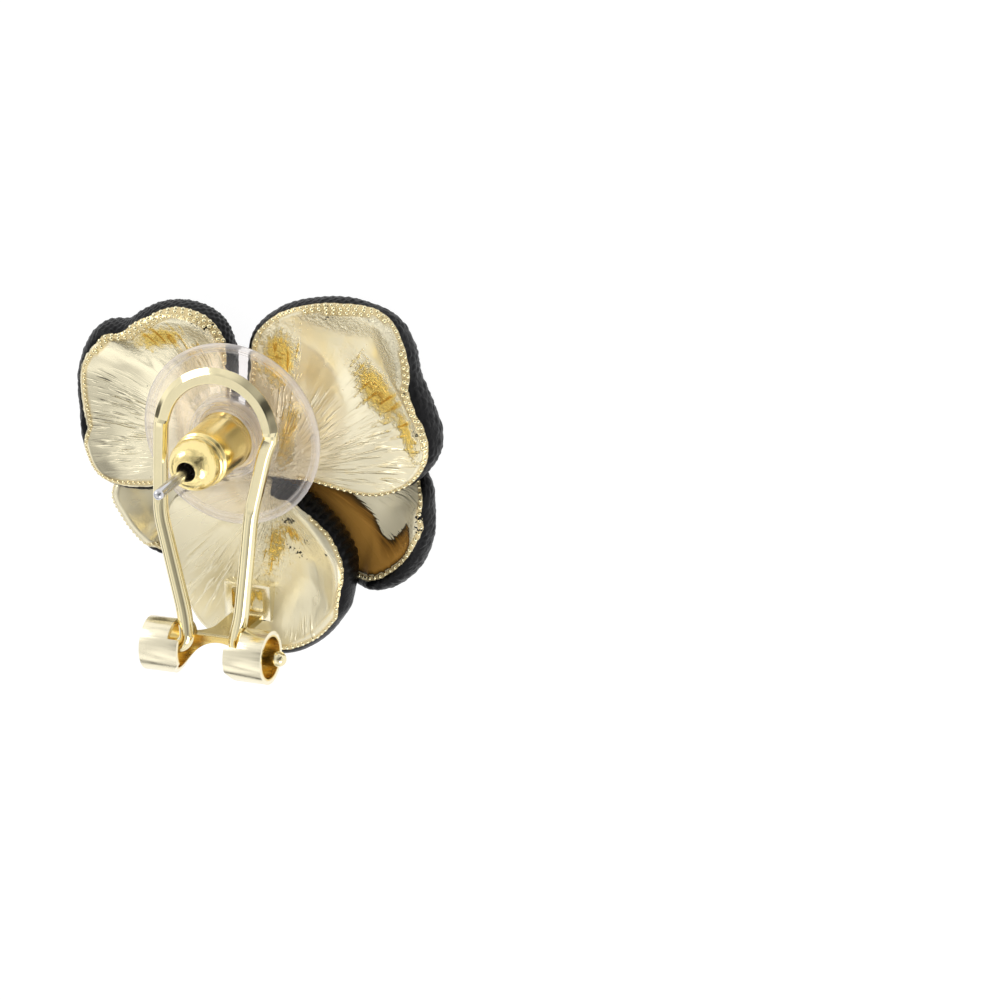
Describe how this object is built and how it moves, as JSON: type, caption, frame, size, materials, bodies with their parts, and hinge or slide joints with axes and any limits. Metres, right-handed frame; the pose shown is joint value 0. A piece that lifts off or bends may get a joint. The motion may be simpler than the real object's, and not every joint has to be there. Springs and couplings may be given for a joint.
{
  "type": "flower earring",
  "caption": "Stud earring with a flower of cast metal petals, an ear post with a padded push nut and a hinged wire clip on its back.",
  "frame": {"origin": "foot of the ear post, on the flower's back", "axes": "+Z along the post, away from the flower's back; -Y towards the clip's hinge; +X to the right seen from the back"},
  "size_m": [0.0244, 0.0242, 0.0165],
  "materials": {
    "petal_gold": "polished pale gold plating, with black enamel round the rims",
    "post_steel": "polished",
    "clip_gold": "polished pale gold plating",
    "barrel_gold": "turned and gold plated",
    "clear_plastic": "clear moulded"
  },
  "bodies": {
    "flower": {"petal_top_left": "petal_gold", "petal_top_right": "petal_gold", "petal_low_left": "petal_gold", "petal_low_right": "petal_gold", "petal_bottom": "petal_gold", "flower_center": "petal_gold", "post": "post_steel", "clip_base": "clip_gold"},
    "loop": {"clip_loop": "clip_gold"},
    "ear_nut": {"nut_barrel": "barrel_gold", "nut_pad": "clear_plastic"}
  },
  "joints": [
    {"name": "clip_hinge", "type": "hinge", "parent": "flower", "child": "loop", "pos_m": [0, -0.0129, 0.0055], "axis": [1, 0, 0], "range_deg": [0, 40]},
    {"name": "nut_slide", "type": "slide", "parent": "flower", "child": "ear_nut", "axis": [0, 0, 1], "range_m": [0, 0.001]}
  ]
}
